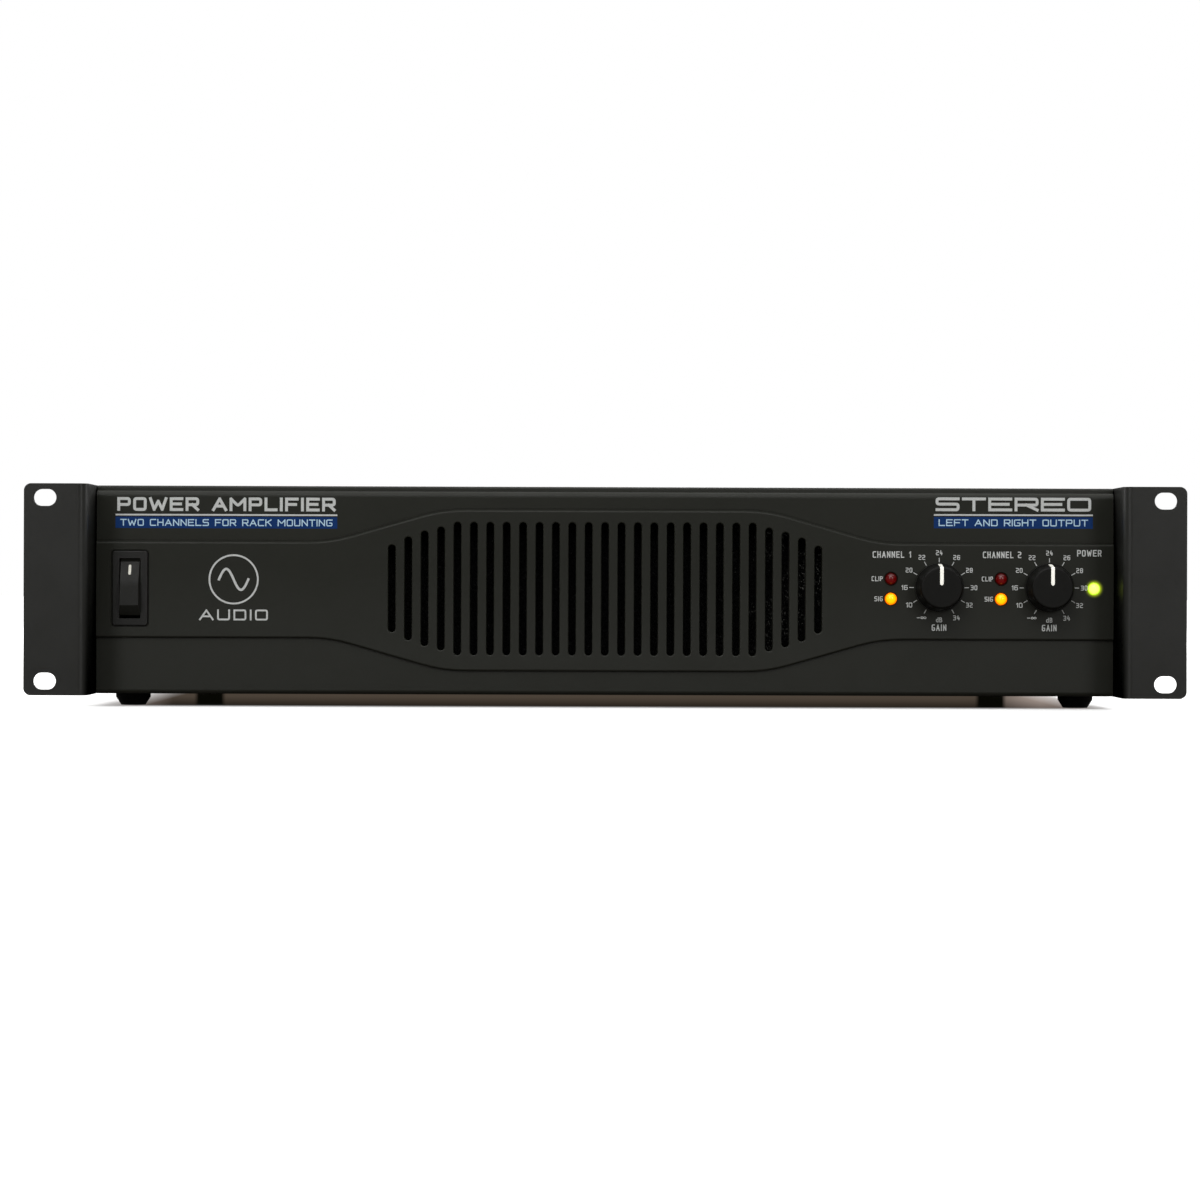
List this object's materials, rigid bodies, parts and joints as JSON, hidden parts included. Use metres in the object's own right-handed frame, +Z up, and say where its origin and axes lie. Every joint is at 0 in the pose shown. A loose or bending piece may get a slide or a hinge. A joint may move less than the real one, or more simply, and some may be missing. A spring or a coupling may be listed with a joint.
{
  "type": "power amplifier",
  "caption": "Rack-mount power amplifier with folded rack ears, slotted front grille, rocker switch, gain knobs, indicator lamps and a rear panel with sockets, fan and mains cord.",
  "frame": {"origin": "centre of the four rack slots, on the rear face of the rack ears", "axes": "+X to the right seen from the front, +Y towards the rear, +Z up"},
  "size_m": [0.4826, 0.444, 0.0934],
  "materials": {
    "case_paint": "fine satin powder coat, charcoal",
    "ear_paint": "fine satin powder coat, charcoal",
    "fascia_coat": "fine matte coat, charcoal",
    "zinc_screw": "zinc plated",
    "black_screw": "black oxide",
    "foot_rubber": "moulded matte",
    "switch_plastic": "moulded, satin",
    "rocker_plastic": "moulded, semi-gloss",
    "knob_plastic": "moulded, soft satin",
    "bright_metal": "nickel plated",
    "led_red": "clear tinted",
    "led_yellow": "clear tinted",
    "led_green": "clear tinted",
    "spacer_nylon": "natural nylon",
    "board_green": "lacquered",
    "socket_black": "glass-filled nylon",
    "cap_red": "moulded",
    "cap_black": "moulded",
    "dip_blue": "moulded",
    "dip_white": "moulded",
    "gold_contact": "gold flashed",
    "cord_pvc": "satin PVC",
    "fan_black": "moulded",
    "guard_wire": "bright plated",
    "core_steel": "wound strip",
    "winding_tape": "varnished copper under clear tape",
    "pad_rubber": "matte",
    "sink_aluminium": "extruded",
    "transistor_black": "moulded epoxy",
    "can_sleeve": "shrink sleeve",
    "filter_foam": "open foam",
    "ribbon_grey": "ribbed",
    "wire_blue": "insulation"
  },
  "bodies": {
    "case": {"front_fascia": "fascia_coat", "chassis_tray": "case_paint", "top_cover": "case_paint", "cover_screws": "black_screw", "rear_panel": "case_paint", "rear_screws": "black_screw", "rack_ear_left": "ear_paint", "rack_ear_right": "ear_paint", "ear_screws": "black_screw", "rubber_feet": "foot_rubber", "foot_screws": "zinc_screw", "power_switch_body": "switch_plastic", "gain_pots": "bright_metal", "panel_nuts": "bright_metal", "clip_leds": "led_red", "signal_leds": "led_yellow", "power_led": "led_green", "led_spacers": "spacer_nylon", "control_board": "board_green", "xlr_sockets": "socket_black", "jack_sockets": "socket_black", "speaker_sockets": "socket_black", "post_plates": "socket_black", "post_studs": "gold_contact", "dip_switch_body": "dip_blue", "breaker_body": "socket_black", "cord_grip": "cord_pvc", "mains_cord": "cord_pvc", "plug_pins": "bright_metal", "fan_frame": "fan_black", "fan_guard": "guard_wire", "transformer_core": "core_steel", "transformer_windings": "winding_tape", "transformer_pads": "pad_rubber", "transformer_clamp": "zinc_screw", "heat_sinks": "sink_aluminium", "output_transistors": "transistor_black", "circuit_boards": "board_green", "board_standoffs": "bright_metal", "filter_capacitors": "can_sleeve", "dust_filter": "filter_foam", "ribbon_cable": "ribbon_grey", "switch_wires": "wire_blue"},
    "gain_1": {"gain_shaft_1": "bright_metal", "gain_knob_1": "knob_plastic"},
    "gain_2": {"gain_shaft_2": "bright_metal", "gain_knob_2": "knob_plastic"},
    "rocker": {"power_rocker": "rocker_plastic"},
    "fan": {"fan_rotor": "fan_black"},
    "breaker_button": {"breaker_button": "cap_black"},
    "latch_1": {"xlr_latch_1": "bright_metal"},
    "latch_2": {"xlr_latch_2": "bright_metal"},
    "cap_red_1": {"post_cap_red_1": "cap_red"},
    "cap_black_1": {"post_cap_black_1": "cap_black"},
    "cap_red_2": {"post_cap_red_2": "cap_red"},
    "cap_black_2": {"post_cap_black_2": "cap_black"},
    "dip_1": {"dip_slider_1": "dip_white"},
    "dip_2": {"dip_slider_2": "dip_white"},
    "dip_3": {"dip_slider_3": "dip_white"},
    "dip_4": {"dip_slider_4": "dip_white"}
  },
  "joints": [
    {"name": "gain_1_turn", "type": "hinge", "parent": "case", "child": "gain_1", "pos_m": [0.141, 0.025, 0.0019], "axis": [0, 1, 0], "range_deg": [-150, 150]},
    {"name": "gain_2_turn", "type": "hinge", "parent": "case", "child": "gain_2", "pos_m": [0.1875, 0.025, 0.0019], "axis": [0, 1, 0], "range_deg": [-150, 150]},
    {"name": "power_rock", "type": "hinge", "parent": "case", "child": "rocker", "pos_m": [-0.2004, 0.03, 0.0005], "axis": [1, 0, 0], "range_deg": [0, 30]},
    {"name": "fan_spin", "type": "hinge", "parent": "case", "child": "fan", "pos_m": [-0.01, 0.385, 0], "axis": [0, 1, 0], "continuous": true},
    {"name": "breaker_trip", "type": "slide", "parent": "case", "child": "breaker_button", "axis": [0, 1, 0], "range_m": [0, 0.003]},
    {"name": "latch_1_press", "type": "slide", "parent": "case", "child": "latch_1", "axis": [0, 1, 0], "range_m": [-0.0015, 0]},
    {"name": "latch_2_press", "type": "slide", "parent": "case", "child": "latch_2", "axis": [0, 1, 0], "range_m": [-0.0015, 0]},
    {"name": "cap_red_1_undo", "type": "slide", "parent": "case", "child": "cap_red_1", "axis": [0, 1, 0], "range_m": [0, 0.006]},
    {"name": "cap_black_1_undo", "type": "slide", "parent": "case", "child": "cap_black_1", "axis": [0, 1, 0], "range_m": [0, 0.006]},
    {"name": "cap_red_2_undo", "type": "slide", "parent": "case", "child": "cap_red_2", "axis": [0, 1, 0], "range_m": [0, 0.006]},
    {"name": "cap_black_2_undo", "type": "slide", "parent": "case", "child": "cap_black_2", "axis": [0, 1, 0], "range_m": [0, 0.006]},
    {"name": "dip_1_slide", "type": "slide", "parent": "case", "child": "dip_1", "axis": [0, 0, 1], "range_m": [0, 0.0016]},
    {"name": "dip_2_slide", "type": "slide", "parent": "case", "child": "dip_2", "axis": [0, 0, 1], "range_m": [0, 0.0016]},
    {"name": "dip_3_slide", "type": "slide", "parent": "case", "child": "dip_3", "axis": [0, 0, 1], "range_m": [0, 0.0016]},
    {"name": "dip_4_slide", "type": "slide", "parent": "case", "child": "dip_4", "axis": [0, 0, 1], "range_m": [0, 0.0016]}
  ]
}
